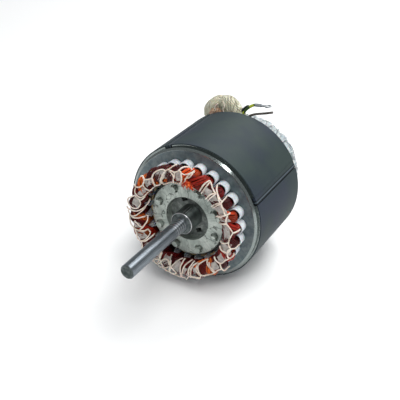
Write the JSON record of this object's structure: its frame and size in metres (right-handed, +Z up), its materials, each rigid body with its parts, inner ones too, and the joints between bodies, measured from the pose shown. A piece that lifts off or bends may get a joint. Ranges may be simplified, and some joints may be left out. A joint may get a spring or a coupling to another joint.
{
  "type": "compressor motor",
  "caption": "Bare stator and rotor set of a built-in compressor motor: laced copper winding, white slot liners, cast rotor end ring and a long thin shaft.",
  "frame": {"origin": "on the shaft axis, halfway along the stator's outer shell", "axes": "-Y along the shaft towards its free end, +Z up with the motor lying on its side, +X to the right seen from the shaft end"},
  "size_m": [0.18, 0.311, 0.1917],
  "materials": {
    "core_steel": "blued lamination steel, smooth, satin",
    "cleat_steel": "bare strip steel, satin",
    "liner_paper": "white folded insulating film, satin",
    "wedge_fibre": "pressed fibre, matte",
    "enamelled_copper": "dark red enamel on copper wire, varnished, glossy",
    "phase_paper": "varnished insulating paper, slightly see-through",
    "lacing_cord": "woven lacing cord, varnished",
    "wrap_tape": "white insulating tape, wrinkled, varnished",
    "cotton_sleeve": "braided cotton sleeve, undyed",
    "earth_insulation": "green and yellow insulation",
    "black_insulation": "black insulation, satin",
    "grey_insulation": "dark grey insulation, satin",
    "tinned_copper": "tinned, dull bright",
    "rotor_steel": "oiled lamination steel",
    "cast_cage": "as cast aluminium, rough",
    "shaft_steel": "ground steel"
  },
  "bodies": {
    "stator": {"stator_core": "core_steel", "clamp_cleat_1": "cleat_steel", "clamp_cleat_2": "cleat_steel", "clamp_cleat_3": "cleat_steel", "clamp_cleat_4": "cleat_steel", "slot_liner_1": "liner_paper", "slot_liner_2": "liner_paper", "slot_liner_3": "liner_paper", "slot_liner_4": "liner_paper", "slot_liner_5": "liner_paper", "slot_liner_6": "liner_paper", "slot_liner_7": "liner_paper", "slot_liner_8": "liner_paper", "slot_liner_9": "liner_paper", "slot_liner_10": "liner_paper", "slot_liner_11": "liner_paper", "slot_liner_12": "liner_paper", "slot_liner_13": "liner_paper", "slot_liner_14": "liner_paper", "slot_liner_15": "liner_paper", "slot_liner_16": "liner_paper", "slot_liner_17": "liner_paper", "slot_liner_18": "liner_paper", "slot_liner_19": "liner_paper", "slot_liner_20": "liner_paper", "slot_liner_21": "liner_paper", "slot_liner_22": "liner_paper", "slot_liner_23": "liner_paper", "slot_liner_24": "liner_paper", "slot_wedges": "wedge_fibre", "coil_row_outer": "enamelled_copper", "coil_row_inner": "enamelled_copper", "phase_paper_front": "phase_paper", "phase_paper_rear": "phase_paper", "lacing_front": "lacing_cord", "rear_wrap": "wrap_tape", "lacing_rear": "lacing_cord", "lead_bundle": "cotton_sleeve", "earth_lead": "earth_insulation", "black_lead": "black_insulation", "grey_lead": "grey_insulation", "earth_terminal": "tinned_copper"},
    "rotor": {"rotor_core": "rotor_steel", "rotor_cage": "cast_cage", "shaft": "shaft_steel"}
  },
  "joints": [
    {"name": "rotor_spin", "type": "hinge", "parent": "stator", "child": "rotor", "pos_m": [0, 0, 0], "axis": [0, -1, 0], "continuous": true}
  ]
}
